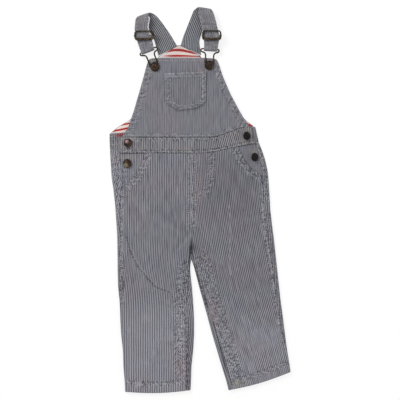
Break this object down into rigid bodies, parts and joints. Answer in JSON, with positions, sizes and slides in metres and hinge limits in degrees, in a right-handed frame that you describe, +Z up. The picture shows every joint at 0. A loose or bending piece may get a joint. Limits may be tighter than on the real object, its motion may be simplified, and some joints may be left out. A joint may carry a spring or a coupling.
{
  "type": "toddler's bib overall",
  "caption": "Bib overall for a toddler, laid flat: long straight legs, bib with patch pocket, straps with sliders and wire hooks.",
  "frame": {"origin": "middle of the garment's box in plan, on the surface it lies on", "axes": "+X to the right as seen from the front, +Y from the hems to the straps, +Z up from the surface"},
  "size_m": [0.2898, 0.6172, 0.0157],
  "materials": {
    "striped_denim": "fine navy and off-white hickory stripe denim, softly worn",
    "striped_jersey": "off-white cotton jersey with thin red stripes",
    "antique_bronze": "dark antique bronze plating, satin"
  },
  "bodies": {
    "root": {"back_left_leg": "striped_denim", "back_right_leg": "striped_denim", "front_left_leg": "striped_denim", "front_right_leg": "striped_denim", "left_hip_panel": "striped_denim", "right_hip_panel": "striped_denim", "back_waistband": "striped_denim", "front_waistband": "striped_denim", "back_bib": "striped_denim", "back_lining": "striped_jersey", "front_bib": "striped_denim", "bib_pocket": "striped_denim", "left_strap": "striped_denim", "right_strap": "striped_denim", "left_slider": "antique_bronze", "right_slider": "antique_bronze", "left_hook": "antique_bronze", "right_hook": "antique_bronze", "left_bib_button": "antique_bronze", "right_bib_button": "antique_bronze", "left_waist_button": "antique_bronze", "left_hip_button": "antique_bronze", "right_waist_button": "antique_bronze", "right_hip_button": "antique_bronze"}
  },
  "joints": []
}
